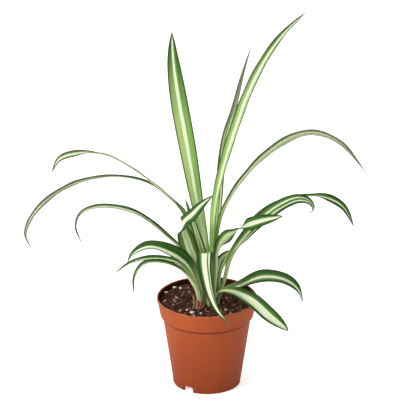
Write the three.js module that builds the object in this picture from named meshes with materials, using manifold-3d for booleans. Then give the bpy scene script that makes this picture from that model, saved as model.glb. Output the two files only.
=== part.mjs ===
// Variegated spider plant in a 10 cm plastic nursery pot.
// Millimetres, +Z up; the origin is on the pot's axis, on the ground. +X is the viewer's right, +Y away.
import * as THREE from "three";
import { mergeVertices } from "three/addons/utils/BufferGeometryUtils.js";
import Module from "manifold-3d";

const wasm = await Module();
wasm.setup();

// ---------- driving dimensions ----------
const POT_HEIGHT = 94;
const RIM_RADIUS = 51;
const COLLAR_HEIGHT = 19;
const COLLAR_FOOT_RADIUS = 47.8;
const BODY_TOP_RADIUS = 45.2;
const FOOT_RADIUS = 35;
const WALL = 1.5;
const POT_SIDES = 72;

const PAD_RADIUS = 17;
const CHANNEL_HEIGHT = 6;
const FOOT_RING_WIDTH = 3;

const NOTCH_WIDTH = 11.6;
const NOTCH_HEIGHT = 6;
const NOTCH_AZIMUTHS = [-123.6, -3.6, 116.4];
const DRAIN_WIDTH = 7;
const DRAIN_INNER_RADIUS = 24;

const CLEARANCE = 0.3;
const SOIL_LEVEL = 87;
const SOIL_ROUGHNESS = 1.1;
const SOIL_TILT = 0.04;
const CROWN_PIT_RADIUS = 13.2;
const CLOD_COUNT = 34;

const CROWN = { x: 2, y: -1 };
const CROWN_RADIUS = 12.8;
const CROWN_BOTTOM = 68;
const CROWN_TOP = 81.7;
const STUMP = { x: -8.5, y: -16.5, radius: 5.4, bottom: 78, top: 95, lean: 9 };

const BLADE_THICKNESS = 0.8;
const BLADE_STATIONS = 24;
const BLADE_TIP_WIDTH = 0.9;
const BASE_WIDTH_SHARE = 0.38;
const BASE_HEIGHT = 82;
const STRAIGHT_BASE = 9;
const FOLD_PLACES = [0, 0.15, 0.5, 0.9, 1];

// ---------- small helpers ----------
const radians = THREE.MathUtils.degToRad;

function solid(geometry) {
  const bare = geometry.index ? geometry.toNonIndexed() : geometry;
  const placed = new THREE.BufferGeometry().setAttribute("position", bare.getAttribute("position"));
  const merged = mergeVertices(placed, 1e-4);
  return new wasm.Manifold(
    new wasm.Mesh({
      numProp: 3,
      vertProperties: merged.attributes.position.array,
      triVerts: new Uint32Array(merged.index.array),
    }),
  );
}

function geometryOf(manifold) {
  const mesh = manifold.getMesh();
  const geometry = new THREE.BufferGeometry();
  geometry.setAttribute("position", new THREE.BufferAttribute(mesh.vertProperties, 3));
  geometry.setIndex(new THREE.BufferAttribute(mesh.triVerts, 1));
  geometry.computeVertexNormals();
  return geometry;
}

// A solid of revolution about +Z from [radius, height] pairs that go up the outside first.
function revolve(profile, sides) {
  const points = profile.map(([radius, height]) => new THREE.Vector2(radius, height));
  return new THREE.LatheGeometry(points, sides).rotateX(Math.PI / 2);
}

function seededRandom(seed) {
  let state = seed;
  return () => {
    state = (state * 1664525 + 1013904223) % 4294967296;
    return state / 4294967296;
  };
}

// Reads a list of values spread evenly over 0..1, eased from one to the next.
function eased(values, t) {
  const place = Math.min(t, 0.9999) * (values.length - 1);
  const index = Math.floor(place);
  const part = THREE.MathUtils.smoothstep(place - index, 0, 1);
  return THREE.MathUtils.lerp(values[index], values[index + 1], part);
}

// ---------- pot ----------
function innerRadius(height) {
  const collarFoot = POT_HEIGHT - COLLAR_HEIGHT;
  if (height > collarFoot) {
    const up = (height - collarFoot) / COLLAR_HEIGHT;
    return THREE.MathUtils.lerp(COLLAR_FOOT_RADIUS, RIM_RADIUS, up) - WALL;
  }
  return THREE.MathUtils.lerp(FOOT_RADIUS, BODY_TOP_RADIUS, height / collarFoot) - WALL;
}

function potProfile() {
  const collarFoot = POT_HEIGHT - COLLAR_HEIGHT;
  const floor = CHANNEL_HEIGHT + WALL;
  const ringInner = FOOT_RADIUS - FOOT_RING_WIDTH;
  const outside = [
    [0, 0],
    [PAD_RADIUS, 0],
    [PAD_RADIUS + 1.5, CHANNEL_HEIGHT],
    [ringInner - 1.5, CHANNEL_HEIGHT],
    [ringInner, 0],
    [FOOT_RADIUS - 0.7, 0],
    [FOOT_RADIUS, 0.8],
    [FOOT_RADIUS + 0.4, 7],
    [BODY_TOP_RADIUS, collarFoot - 1.2],
    [BODY_TOP_RADIUS + 0.3, collarFoot - 0.3],
    [COLLAR_FOOT_RADIUS - 0.4, collarFoot],
    [COLLAR_FOOT_RADIUS, collarFoot + 0.6],
    [RIM_RADIUS - 0.6, POT_HEIGHT - 3.2],
    [RIM_RADIUS, POT_HEIGHT - 2.4],
    [RIM_RADIUS, POT_HEIGHT - 0.6],
    [RIM_RADIUS - 0.5, POT_HEIGHT],
  ];
  const inside = [
    [RIM_RADIUS - WALL, POT_HEIGHT],
    [RIM_RADIUS - WALL - 0.3, POT_HEIGHT - 0.5],
    [innerRadius(collarFoot + 0.8), collarFoot + 0.8],
    [innerRadius(collarFoot - 2), collarFoot - 2],
    [innerRadius(floor), floor],
    [PAD_RADIUS + 0.4, floor],
    [PAD_RADIUS - 1.2, WALL],
    [0, WALL],
  ];
  return [...outside, ...inside];
}

// A foot notch with rounded top corners, from inside the channel to outside the wall, pointing along +X.
function notchCutter() {
  const half = NOTCH_WIDTH / 2;
  const corner = 1.6;
  const outline = new THREE.Shape();
  outline.moveTo(-half, -1);
  outline.lineTo(half, -1);
  outline.lineTo(half, NOTCH_HEIGHT - corner);
  outline.absarc(half - corner, NOTCH_HEIGHT - corner, corner, 0, Math.PI / 2);
  outline.absarc(corner - half, NOTCH_HEIGHT - corner, corner, Math.PI / 2, Math.PI);
  const depth = FOOT_RING_WIDTH + 6;
  const cutter = new THREE.ExtrudeGeometry(outline, { depth, bevelEnabled: false, curveSegments: 4 });
  return cutter.rotateX(Math.PI / 2).rotateZ(Math.PI / 2).translate(FOOT_RADIUS - 5, 0, 0);
}

// The drain slot in the channel's ceiling, behind a foot notch.
function drainCutter() {
  const length = FOOT_RADIUS - 4.5 - DRAIN_INNER_RADIUS;
  const slot = new THREE.BoxGeometry(length, DRAIN_WIDTH, 4);
  return slot.translate(DRAIN_INNER_RADIUS + length / 2, 0, CHANNEL_HEIGHT + WALL / 2);
}

function potGeometry() {
  let pot = solid(revolve(potProfile(), POT_SIDES));
  for (const azimuth of NOTCH_AZIMUTHS) {
    pot = pot.subtract(solid(notchCutter().rotateZ(radians(azimuth))));
    pot = pot.subtract(solid(drainCutter().rotateZ(radians(azimuth))));
  }
  return geometryOf(pot);
}

// ---------- soil ----------
// The soil lies a little higher towards the left.
function soilLift(x, y) {
  const broad = Math.sin(0.21 * x + 0.6) * Math.cos(0.17 * y - 0.4);
  const fine = Math.sin(0.83 * x + 0.35 * y) * Math.sin(0.71 * y - 0.29 * x + 1.3);
  return SOIL_ROUGHNESS * (0.7 * broad + 0.5 * fine) - SOIL_TILT * x;
}

function soilProfile() {
  const gap = CLEARANCE;
  const collarFoot = POT_HEIGHT - COLLAR_HEIGHT;
  const floor = CHANNEL_HEIGHT + WALL + gap;
  const rim = SOIL_LEVEL - 3;
  const under = [
    [0, WALL + gap],
    [PAD_RADIUS - 1.6, WALL + gap],
    [PAD_RADIUS, floor],
    [innerRadius(floor) - gap, floor],
    [innerRadius(collarFoot - 2) - gap, collarFoot - 2],
    [innerRadius(collarFoot + 0.8) - gap, collarFoot + 1.2],
    [innerRadius(rim) - gap, rim],
  ];
  const edge = innerRadius(rim) - gap;
  const rings = 12;
  const top = [];
  for (let ring = 0; ring <= rings; ring += 1) {
    top.push([edge * (1 - ring / rings), SOIL_LEVEL]);
  }
  return [...under, ...top];
}

function clods() {
  const random = seededRandom(11);
  const lumps = [];
  while (lumps.length < CLOD_COUNT) {
    const azimuth = random() * 2 * Math.PI;
    const radius = 17.5 + 26 * Math.sqrt(random());
    const size = 1.3 + 1.5 * random();
    const x = radius * Math.cos(azimuth);
    const y = radius * Math.sin(azimuth);
    const lump = new THREE.IcosahedronGeometry(size, 0);
    lump.rotateX(random() * 3).rotateY(random() * 3).scale(1, 1, 0.8);
    lump.translate(x, y, SOIL_LEVEL + soilLift(x, y) + 0.1 * size);
    if (radius + size < 44.5) {
      lumps.push(lump);
    }
  }
  return lumps;
}

function soilGeometry() {
  const body = revolve(soilProfile(), POT_SIDES);
  const position = body.getAttribute("position");
  for (let index = 0; index < position.count; index += 1) {
    const height = position.getZ(index);
    if (Math.abs(height - SOIL_LEVEL) < 0.01) {
      position.setZ(index, height + soilLift(position.getX(index), position.getY(index)));
    }
  }
  let soil = solid(body);
  for (const lump of clods()) {
    soil = soil.add(solid(lump));
  }
  const crownPit = new THREE.CylinderGeometry(CROWN_PIT_RADIUS, CROWN_PIT_RADIUS, 30, 40).rotateX(Math.PI / 2);
  crownPit.translate(CROWN.x, CROWN.y, CROWN_BOTTOM - CLEARANCE + 15);
  const stumpPit = new THREE.CylinderGeometry(STUMP.radius + 1.4, STUMP.radius + 1, 30, 24).rotateX(Math.PI / 2);
  stumpPit.scale(1, 0.8, 1).translate(STUMP.x, STUMP.y + 0.8, STUMP.bottom - CLEARANCE + 15);
  return geometryOf(soil.subtract(solid(crownPit)).subtract(solid(stumpPit)));
}

// ---------- crown and the dry leaf base ----------
function crownGeometry() {
  const profile = [
    [0, CROWN_BOTTOM],
    [CROWN_RADIUS * 0.55, CROWN_BOTTOM],
    [CROWN_RADIUS * 0.85, CROWN_BOTTOM + 4],
    [CROWN_RADIUS, CROWN_TOP - 4],
    [CROWN_RADIUS, CROWN_TOP - 0.8],
    [CROWN_RADIUS - 1, CROWN_TOP],
    [0, CROWN_TOP],
  ];
  return revolve(profile, 32).translate(CROWN.x, CROWN.y, 0);
}

// A withered stub of an old leaf, ragged at the top, leaning against the bundle.
function stumpGeometry() {
  const { radius, bottom, top } = STUMP;
  const profile = [
    [0, bottom],
    [radius * 0.8, bottom],
    [radius, bottom + 6],
    [radius * 0.92, bottom + 11],
    [radius * 0.7, top - 2.5],
    [radius * 0.3, top],
    [0, top - 1.5],
  ];
  const stump = revolve(profile, 15);
  const position = stump.getAttribute("position");
  const tilt = Math.tan(radians(STUMP.lean));
  for (let index = 0; index < position.count; index += 1) {
    const x = position.getX(index);
    const y = position.getY(index);
    const z = position.getZ(index);
    const turn = Math.atan2(y, x);
    const rib = 1 + 0.09 * Math.cos(5 * turn);
    const rise = THREE.MathUtils.smoothstep(z, top - 8, top);
    const ragged = Math.hypot(x, y) > 0.5 ? 1.3 * rise * Math.sin(3 * turn) : 0;
    position.setXYZ(index, x * rib, 0.68 * y * rib + tilt * (z - bottom), z + ragged);
  }
  return stump.translate(STUMP.x, STUMP.y, 0);
}

// ---------- leaves ----------
// Each leaf grows from "base" [radius, azimuth] round the crown's centre and arches out in the upright plane
// of its azimuth (0 = right, 90 = away, 180 = left). "spine" lists the midrib after the straight base as
// [reach from the crown's centre, height, sway to the leaf's left]. "roll" turns the blade about its midrib
// and is spread evenly from base to tip; "fold" lifts the halves into a channel at FOLD_PLACES.
const LEAVES = [
  {
    name: "tall_left",
    azimuth: 125,
    base: [4.8, 142],
    width: 18.5,
    peak: 0.68,
    taper: 2.4,
    roll: [15, -30, -30, -30, -35],
    fold: [60, 38, 15, 18, 20],
    spine: [
      [7, 136, -1], [13, 152, -3], [26, 186, -4], [41, 240, -3], [56, 291, -2], [64, 331, -1],
      [65, 361, 0],
    ],
  },
  {
    name: "tall_right",
    azimuth: 32,
    base: [4.5, 5],
    width: 16,
    peak: 0.6,
    taper: 3.0,
    roll: [-25, 0, 0, 0, 0],
    fold: [60, 45, 20, 24, 24],
    spine: [
      [4, 140, -2], [8, 192, -1], [18, 233, -1], [33, 272, 0], [56, 320, 0], [84, 356, 0],
      [114, 379, 0],
    ],
  },
  {
    name: "narrow_behind",
    azimuth: 55,
    base: [9, 84],
    width: 10,
    peak: 0.5,
    taper: 1.6,
    roll: [30, 0, 0, 0, 0],
    fold: [60, 45, 20, 24, 24],
    spine: [
      [16, 134, 3], [23, 185, 3], [29, 228, 4], [36, 257, 4], [45, 282, 1], [59, 316, 0],
      [68, 345, -4],
    ],
  },
  {
    name: "right_arch",
    azimuth: 8,
    base: [5.4, 76],
    width: 13,
    peak: 0.58,
    taper: 1.8,
    roll: [60, -25, -35, -45, -60, -50, -40],
    fold: [60, 40, 15, 15, 20],
    spine: [
      [8, 144, 4], [15, 184, 3], [32, 216, 2], [58, 245, 2], [88, 264, 1], [109, 266, 1],
      [134, 254, 0], [160, 222, 0],
    ],
  },
  {
    name: "right_far",
    azimuth: 14,
    base: [11.6, 22],
    width: 11,
    peak: 0.75,
    taper: 2.2,
    roll: [10, 10, 5, -5, -15, -10, 45, 55],
    fold: [60, 40, 15, 12, 20],
    spine: [
      [14, 119, 2], [36, 159, 1], [60, 185, 1], [91, 194, 1], [119, 192, 1], [140, 180, 0],
      [153, 156, 0],
    ],
  },
  {
    name: "right_curl",
    azimuth: 0,
    base: [7.8, 2],
    width: 15.5,
    peak: 0.56,
    taper: 2.0,
    roll: [0, 0, 10, 35, 50, 45, 35],
    fold: [65, 60, 30, 8, 12],
    spine: [
      [16, 108, 0], [25, 140, 0], [40, 162, 0], [66, 190, 0], [90, 202, 0], [101, 199, 0],
      [105, 192, 0], [102, 187, 0], [99, 186, 0],
    ],
  },
  {
    name: "right_twist",
    azimuth: -12,
    base: [7.6, -41],
    width: 15,
    peak: 0.72,
    taper: 2.0,
    roll: [-30, 0, -5, -5, -20, -80, -20, 50, 60, 60],
    fold: [60, 30, 15, 15, 20],
    spine: [[9, 124, -4], [11, 149, -4], [17, 161, -3], [28, 170, -2], [51, 182, -1], [76, 190, 0]],
  },
  {
    name: "right_back",
    azimuth: 30,
    base: [8.2, 50],
    width: 11,
    peak: 0.6,
    taper: 1.9,
    roll: [20, -80, -95, -65],
    fold: [60, 30, 15, 10, 20],
    spine: [[12, 118, 4], [16, 131, 3], [24, 137, 2], [30, 133, 3]],
  },
  {
    name: "flag_left",
    azimuth: -135,
    base: [7.5, -134],
    width: 17,
    peak: 0.5,
    taper: 2.0,
    roll: [0, 42, 52, 55, 55, 57, 62, 88, 170, 212, 220, 220],
    fold: [60, 30, 5, 10, 15],
    spine: [
      [14, 128, -1], [21, 150, -6], [24, 162, -8], [28, 173, -8], [31, 184, -4], [27, 193, 3],
      [21, 203, 9], [12, 215, 18],
    ],
  },
  {
    name: "inner_spike",
    azimuth: 160,
    base: [2.4, -122],
    width: 9,
    peak: 0.45,
    taper: 1.7,
    roll: [60, -60, -60],
    fold: [60, 35, 12, 15, 15],
    spine: [[5, 138, 3], [10, 167, 9], [17, 192, 12], [20, 206, 15]],
  },
  {
    name: "left_high",
    azimuth: 172,
    base: [7.8, 177],
    width: 11.5,
    peak: 0.84,
    taper: 2.0,
    roll: [5, -15, -5, 10, 20, 25, 25, 25, -20, -45],
    fold: [60, 40, 14, 8, 10],
    spine: [
      [15, 156, 1], [33, 194, 1], [66, 223, 1], [98, 242, 1], [114, 246, 2], [131, 245, 2],
      [151, 238, 2], [160, 223, 2],
    ],
  },
  {
    name: "left_long",
    azimuth: 172,
    base: [7.8, 114],
    width: 10,
    peak: 0.7,
    taper: 2.0,
    roll: [-60, -10, -5, 15, 15, -10, -35, -60],
    fold: [60, 40, 20, 12, 15],
    spine: [
      [18, 153, -7], [26, 182, -7], [40, 196, -7], [57, 211, -5], [74, 218, -3], [103, 220, -1],
      [144, 207, 1], [177, 179, 2], [188, 154, 4], [181, 138, 6],
    ],
  },
  {
    name: "left_mid",
    azimuth: 182,
    base: [11.6, 160],
    width: 12,
    peak: 0.6,
    taper: 1.9,
    roll: [-20, 0, 0, 0, 0],
    fold: [60, 45, 20, 24, 24],
    spine: [
      [19, 132, -4], [41, 159, -3], [73, 186, -1], [106, 194, -1], [128, 188, -1], [134, 175, 0],
      [128, 154, 0],
    ],
  },
  {
    name: "left_wide",
    azimuth: -158,
    base: [11.8, -139],
    width: 15.5,
    peak: 0.5,
    taper: 1.9,
    roll: [20, -50, -50, -45, -25, -10],
    fold: [60, 35, 15, 12, 20],
    spine: [[16, 115, 8], [28, 141, 8], [47, 156, 4], [67, 162, 1], [82, 155, -1], [88, 146, -1]],
  },
  {
    name: "left_low_back",
    azimuth: 165,
    base: [11.6, 136],
    width: 13,
    peak: 0.6,
    taper: 1.8,
    roll: [-30, 0, 0, 0, 0],
    fold: [60, 45, 20, 24, 24],
    spine: [[19, 110, -4], [34, 127, -1], [59, 129, 0], [81, 123, 0], [100, 109, 0]],
  },
  {
    name: "left_low_front",
    azimuth: -166,
    base: [11.6, -176],
    width: 10,
    peak: 0.55,
    taper: 1.8,
    roll: [-10, 0, 0, 0, 0],
    fold: [60, 45, 20, 24, 24],
    spine: [[15, 105, -2], [30, 127, -2], [49, 137, -1], [67, 137, -1], [77, 125, 0], [78, 103, 0]],
  },
  {
    name: "front_fall",
    azimuth: -84,
    base: [9.5, -89],
    width: 19,
    peak: 0.36,
    taper: 1.05,
    roll: [-5, 0, 0, 0, 0],
    fold: [60, 30, 10, 12, 20],
    spine: [[21, 133, -5], [34, 157, -8], [45, 147, -9], [54, 120, -4], [57, 104, 3], [59, 89, 15]],
  },
  {
    name: "right_wide",
    azimuth: -36,
    base: [11.6, -62],
    width: 17.5,
    peak: 0.62,
    taper: 3.2,
    roll: [-25, 10, 20, 20, 15],
    fold: [60, 25, 8, 8, 12],
    spine: [[14, 103, -3], [28, 108, -1], [52, 105, 0], [76, 93, 0], [98, 82, 1]],
  },
  {
    name: "right_mid",
    azimuth: -4,
    base: [11.6, -28],
    width: 17.2,
    peak: 0.58,
    taper: 2.2,
    roll: [-25, 15, 25, 20, 15],
    fold: [60, 25, 8, 8, 12],
    spine: [[14, 101, -5], [32, 110, -5], [54, 120, -4], [77, 117, -2], [90, 107, -1], [96, 91, 0]],
  },
];

function leafCurve(leaf) {
  const turn = radians(leaf.azimuth);
  const outward = new THREE.Vector3(Math.cos(turn), Math.sin(turn), 0);
  const leftward = new THREE.Vector3(-Math.sin(turn), Math.cos(turn), 0);
  const [baseRadius, baseAzimuth] = leaf.base;
  const swing = radians(baseAzimuth - leaf.azimuth);
  const baseReach = baseRadius * Math.cos(swing);
  const baseSway = baseRadius * Math.sin(swing);
  const marks = [
    [baseReach, BASE_HEIGHT, baseSway],
    [baseReach + 0.5, BASE_HEIGHT + STRAIGHT_BASE, baseSway],
    ...leaf.spine,
  ];
  const points = marks.map(([reach, height, sway]) =>
    new THREE.Vector3(CROWN.x, CROWN.y, height).addScaledVector(outward, reach).addScaledVector(leftward, sway),
  );
  const curve = new THREE.CatmullRomCurve3(points, false, "centripetal");
  curve.arcLengthDivisions = 400;
  return { curve, leftward };
}

function bladeWidth(leaf, t) {
  if (t < leaf.peak) {
    const share = THREE.MathUtils.smoothstep(t / leaf.peak, 0, 1);
    return leaf.width * THREE.MathUtils.lerp(BASE_WIDTH_SHARE, 1, share);
  }
  const beyond = (t - leaf.peak) / (1 - leaf.peak);
  return Math.max(BLADE_TIP_WIDTH, leaf.width * (1 - beyond ** leaf.taper) ** 0.8);
}

function bladeFold(leaf, t) {
  const next = FOLD_PLACES.findIndex((place, index) => index > 0 && t <= place + 1e-9);
  const from = FOLD_PLACES[next - 1];
  const part = (t - from) / (FOLD_PLACES[next] - from);
  return radians(THREE.MathUtils.lerp(leaf.fold[next - 1], leaf.fold[next], part));
}

// The six corners of a blade's section: the upper face from left to right, then the lower face back.
function bladeSection(leaf, curve, leftward, t) {
  const centre = curve.getPointAt(t);
  const along = t < 1e-6 ? new THREE.Vector3(0, 0, 1) : curve.getTangentAt(t);
  const flatSide = leftward.clone().addScaledVector(along, -leftward.dot(along)).normalize();
  const flatUp = along.clone().cross(flatSide);
  const roll = radians(eased(leaf.roll, t));
  const side = flatSide.clone().multiplyScalar(Math.cos(roll)).addScaledVector(flatUp, Math.sin(roll));
  const up = flatUp.clone().multiplyScalar(Math.cos(roll)).addScaledVector(flatSide, -Math.sin(roll));
  const fold = bladeFold(leaf, t);
  const half = bladeWidth(leaf, t) / 2;
  const thick = BLADE_THICKNESS / 2;
  const corner = (sign, face) =>
    centre
      .clone()
      .addScaledVector(side, sign * half * Math.cos(fold))
      .addScaledVector(up, half * Math.sin(fold))
      .addScaledVector(side, -sign * face * thick * Math.sin(fold))
      .addScaledVector(up, face * thick * Math.cos(fold));
  const ridge = (face) => centre.clone().addScaledVector(up, (face * thick) / Math.cos(fold));
  return [corner(1, 1), ridge(1), corner(-1, 1), corner(-1, -1), ridge(-1), corner(1, -1)];
}

function leafGeometry(leaf) {
  const { curve, leftward } = leafCurve(leaf);
  const vertices = [];
  for (let station = 0; station <= BLADE_STATIONS; station += 1) {
    vertices.push(...bladeSection(leaf, curve, leftward, station / BLADE_STATIONS));
  }
  // The lower face is split along the mirrored diagonal, so that both faces bend along the same lines.
  const faces = [];
  const quad = (a, b, c, d, flip) => faces.push(...(flip ? [a, b, d, b, c, d] : [a, b, c, a, c, d]));
  for (let station = 0; station < BLADE_STATIONS; station += 1) {
    const here = station * 6;
    const next = here + 6;
    for (let corner = 0; corner < 6; corner += 1) {
      const after = (corner + 1) % 6;
      quad(here + corner, here + after, next + after, next + corner, corner === 3 || corner === 4);
    }
  }
  const tip = BLADE_STATIONS * 6;
  faces.push(0, 5, 1, 1, 5, 4, 1, 4, 2, 2, 4, 3);
  faces.push(tip, tip + 1, tip + 5, tip + 1, tip + 4, tip + 5, tip + 1, tip + 2, tip + 4, tip + 2, tip + 3, tip + 4);
  const geometry = new THREE.BufferGeometry().setFromPoints(vertices);
  geometry.setIndex(faces);
  geometry.computeVertexNormals();
  return geometry;
}

// ---------- materials and assembly ----------
const PLASTIC = new THREE.MeshStandardMaterial({ color: 0xb5562f, roughness: 0.55, metalness: 0 });
const EARTH = new THREE.MeshStandardMaterial({ color: 0x3b2a22, roughness: 1, metalness: 0 });
const ROOTSTOCK = new THREE.MeshStandardMaterial({ color: 0xa9b27c, roughness: 0.8, metalness: 0 });
const DRY = new THREE.MeshStandardMaterial({ color: 0x8a4f3a, roughness: 0.9, metalness: 0 });
const BLADE = new THREE.MeshStandardMaterial({ color: 0x7fa65a, roughness: 0.45, metalness: 0 });

const plant = new THREE.Group();

function place(name, geometry, material) {
  const mesh = new THREE.Mesh(geometry, material.clone());
  mesh.name = name;
  plant.add(mesh);
}

place("pot", potGeometry(), PLASTIC);
place("soil", soilGeometry(), EARTH);
place("crown", crownGeometry(), ROOTSTOCK);
place("dry_leaf_base", stumpGeometry(), DRY);
for (const leaf of LEAVES) {
  place(leaf.name, leafGeometry(leaf), BLADE);
}

export default plant;
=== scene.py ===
"""Variegated spider plant in a terracotta-coloured nursery pot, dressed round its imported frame."""
import math
import random

import bmesh
import bpy
import numpy as np
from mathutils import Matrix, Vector, noise


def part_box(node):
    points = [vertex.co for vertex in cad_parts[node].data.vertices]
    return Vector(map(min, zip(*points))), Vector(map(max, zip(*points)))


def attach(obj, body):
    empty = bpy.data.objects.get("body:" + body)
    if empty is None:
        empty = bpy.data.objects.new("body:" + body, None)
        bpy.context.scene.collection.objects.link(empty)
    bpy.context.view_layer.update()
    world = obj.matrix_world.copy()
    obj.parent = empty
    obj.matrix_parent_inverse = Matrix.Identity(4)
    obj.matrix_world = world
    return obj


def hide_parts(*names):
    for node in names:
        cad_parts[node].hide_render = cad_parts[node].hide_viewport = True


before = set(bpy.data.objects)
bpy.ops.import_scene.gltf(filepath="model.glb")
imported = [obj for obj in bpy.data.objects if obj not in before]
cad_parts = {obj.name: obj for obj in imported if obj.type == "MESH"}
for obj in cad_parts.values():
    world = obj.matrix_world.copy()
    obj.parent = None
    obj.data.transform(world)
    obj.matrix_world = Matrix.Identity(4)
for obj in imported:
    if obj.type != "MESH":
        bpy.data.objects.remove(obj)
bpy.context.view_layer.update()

MM = 0.001
BEND_STEPS = 4

# --- camera, floor and light ---
CAMERA_TARGET = Vector((1.1, 0, 191.7)) * MM
CAMERA_DISTANCE = 3.0
CAMERA_ELEVATION = math.radians(22.6)
CAMERA_LENS = 257.7
SENSOR_WIDTH = 36
CLIP_END = 50
# Soft square lights: name, place, height that they aim at, side, power and colour.
LIGHTS = (
    ("key", (-1.65, -1.3, 1.6), 0.15, 0.8, 33.5, (1, 0.99, 0.97)),
    ("fill", (0, -2, 1.8), 0.2, 1.2, 3, (1, 1, 1)),
    ("top", (0.3, 0.3, 2.3), 0.2, 1.2, 23, (1, 1, 1)),
)
FLOOR_SIDE = 16
FLOOR_DROP = 0.0004
FLOOR_GLOW = 0.62
# Glow of the surroundings beyond the edge on the left and on the right; it fades evenly between.
STUDIO_GLOW = (0.6, 0.05)
STUDIO_EDGE = 0.8

scene = bpy.context.scene
scene.view_settings.view_transform = "Standard"
scene.view_settings.look = "None"


def aim(thing, target):
    direction = Vector(target) - thing.location
    thing.rotation_euler = direction.to_track_quat("-Z", "Y").to_euler()


def add_camera():
    data = bpy.data.cameras.new("camera")
    data.lens = CAMERA_LENS
    data.sensor_width = SENSOR_WIDTH
    data.clip_end = CLIP_END
    camera = bpy.data.objects.new("camera", data)
    back = Vector((0, -math.cos(CAMERA_ELEVATION), math.sin(CAMERA_ELEVATION)))
    camera.location = CAMERA_TARGET + CAMERA_DISTANCE * back
    scene.collection.objects.link(camera)
    aim(camera, CAMERA_TARGET)
    scene.camera = camera


def add_lights():
    for name, place, height, side, power, colour in LIGHTS:
        data = bpy.data.lights.new(name, "AREA")
        data.size = side
        data.energy = power
        data.color = colour
        light = bpy.data.objects.new(name, data)
        light.location = place
        scene.collection.objects.link(light)
        aim(light, (0, 0, height))


# --- node graphs ---
def tint(code):
    """A colour written as sRGB hexadecimal, as linear RGBA."""
    values = [int(code[place : place + 2], 16) / 255 for place in (0, 2, 4)]
    linear = [v / 12.92 if v <= 0.04045 else ((v + 0.055) / 1.055) ** 2.4 for v in values]
    return (*linear, 1.0)


class Graph:
    """Builds the nodes of one material or world; values may be sockets or constants."""

    def __init__(self, name, group=bpy.data.materials, shader="Principled BSDF"):
        self.owner = group.new(name)
        self.owner.use_nodes = True
        self.nodes = self.owner.node_tree.nodes
        self.links = self.owner.node_tree.links
        self.shader = self.nodes[shader]

    def put(self, socket, value):
        if isinstance(value, bpy.types.NodeSocket):
            self.links.new(value, socket)
        else:
            socket.default_value = value

    def fill(self, node, **inputs):
        """Gives the node's inputs their values; _ stands for the space in an input's name."""
        for name, value in inputs.items():
            self.put(node.inputs[name.replace("_", " ")], value)
        return node

    def add(self, kind, **inputs):
        return self.fill(self.nodes.new("ShaderNode" + kind), **inputs)

    def math(self, operation, a, b=0.0, c=0.0, clamp=False):
        node = self.add("Math")
        node.operation = operation
        node.use_clamp = clamp
        for socket, value in zip(node.inputs, (a, b, c)):
            self.put(socket, value)
        return node.outputs[0]

    def plus(self, a, b):
        return self.math("ADD", a, b)

    def minus(self, a, b):
        return self.math("SUBTRACT", a, b)

    def times(self, a, b):
        return self.math("MULTIPLY", a, b)

    def line(self, value, slope, start):
        """Start at value 0, rising by slope for each 1 of the value."""
        return self.math("MULTIPLY_ADD", value, slope, start)

    def apart(self, a, b):
        return self.math("ABSOLUTE", self.minus(a, b))

    def mix(self, share, a, b):
        node = self.add("Mix")
        node.data_type = "RGBA"
        return self.fill(node, Factor=share, A=a, B=b).outputs["Result"]

    def lay(self, colour, cover, strength, over):
        """The colour with a tint laid over it where cover is 1, as strongly as strength says."""
        return self.mix(self.times(cover, strength), colour, tint(over))

    def tints(self, share, a, b):
        return self.mix(share, tint(a), tint(b))

    def step(self, value, low, high):
        """0 below low, 1 above high, smooth between."""
        node = self.add("MapRange", Value=value, From_Min=low, From_Max=high)
        node.interpolation_type = "SMOOTHSTEP"
        return node.outputs["Result"]

    def noise(self, vector, scale, detail, roughness=0.5):
        node = self.add("TexNoise", Vector=vector, Scale=scale, Detail=detail, Roughness=roughness)
        return node.outputs["Fac"]

    def vector(self, x, y, z):
        return self.add("CombineXYZ", X=x, Y=y, Z=z).outputs[0]

    def split(self, vector):
        return self.add("SeparateXYZ", Vector=vector).outputs

    def attribute(self, name):
        node = self.add("Attribute")
        node.attribute_name = name
        return self.split(node.outputs["Vector"])

    def place(self):
        """Object coordinates, which are metres in the plant's frame."""
        return self.add("TexCoord").outputs["Object"]

    def bump(self, height, distance, strength):
        node = self.add("Bump", Strength=strength, Distance=distance, Height=height)
        self.fill(self.shader, Normal=node.outputs["Normal"])

    def finish(self, **inputs):
        self.fill(self.shader, **inputs)
        return self.owner


# --- meshes ---
def add_piece(name, mesh, material, slot, *replaced):
    piece = bpy.data.objects.new(name, mesh)
    scene.collection.objects.link(piece)
    mesh.materials.append(material)
    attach(piece, "root")
    if replaced:
        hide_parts(*replaced)


def mesh_from(name, vertices, faces, attributes=None):
    """Vertices in millimetres. Attributes are one triple for each vertex."""
    mesh = bpy.data.meshes.new(name)
    mesh.from_pydata((np.asarray(vertices) * MM).tolist(), [], faces)
    for key, values in (attributes or {}).items():
        layer = mesh.attributes.new(key, "FLOAT_VECTOR", "POINT")
        layer.data.foreach_set("vector", np.asarray(values, dtype=np.float32).ravel())
    mesh.shade_smooth()
    mesh.update()
    return mesh


def revolve(profile, sides):
    """Rings of [radius, height] pairs; the ends on the axis become single points."""
    vertices = []
    rings = []
    for radius, height in profile:
        count = 1 if radius < 1e-6 else sides
        rings.append(list(range(len(vertices), len(vertices) + count)))
        for side in range(count):
            turn = 2 * math.pi * side / sides
            vertices.append((radius * math.cos(turn), radius * math.sin(turn), height))
    faces = []
    for lower, upper in zip(rings, rings[1:]):
        for side in range(sides):
            after = (side + 1) % sides
            corners = [lower[side % len(lower)], lower[after % len(lower)],
                       upper[after % len(upper)], upper[side % len(upper)]]
            faces.append(list(dict.fromkeys(corners)))
    return vertices, faces


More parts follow.
